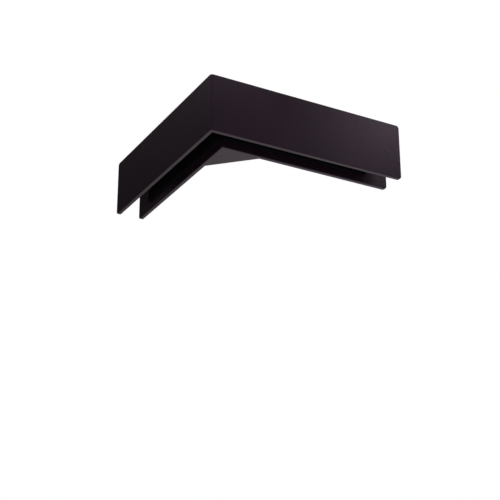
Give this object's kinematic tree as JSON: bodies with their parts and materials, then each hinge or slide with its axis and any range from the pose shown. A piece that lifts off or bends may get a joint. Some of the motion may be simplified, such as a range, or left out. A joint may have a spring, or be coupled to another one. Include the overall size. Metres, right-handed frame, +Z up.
{
  "type": "stabilizer bracket",
  "caption": "Right-angle bracket whose padded, slotted legs and corner gusset slip over the top corner of upright glass panels and hold them square to each other.",
  "frame": {"origin": "where the middle lines of the two slots cross, level with the mouth of the slots and the lower edges of the flanges", "axes": "+X along one leg and +Y along the other, both away from the corner; +Z up, from the mouth of the slots to the web over them"},
  "size_m": [0.1, 0.1, 0.028],
  "materials": {
    "black_coat": "matte black powder coat, fine and even",
    "black_rubber": "plain matte black rubber"
  },
  "bodies": {
    "root": {"bracket_body": "black_coat", "outer_side_pad_x": "black_rubber", "outer_side_pad_y": "black_rubber", "inner_side_pad_x": "black_rubber", "inner_side_pad_y": "black_rubber", "seat_pad_x": "black_rubber", "seat_pad_y": "black_rubber"}
  },
  "joints": []
}
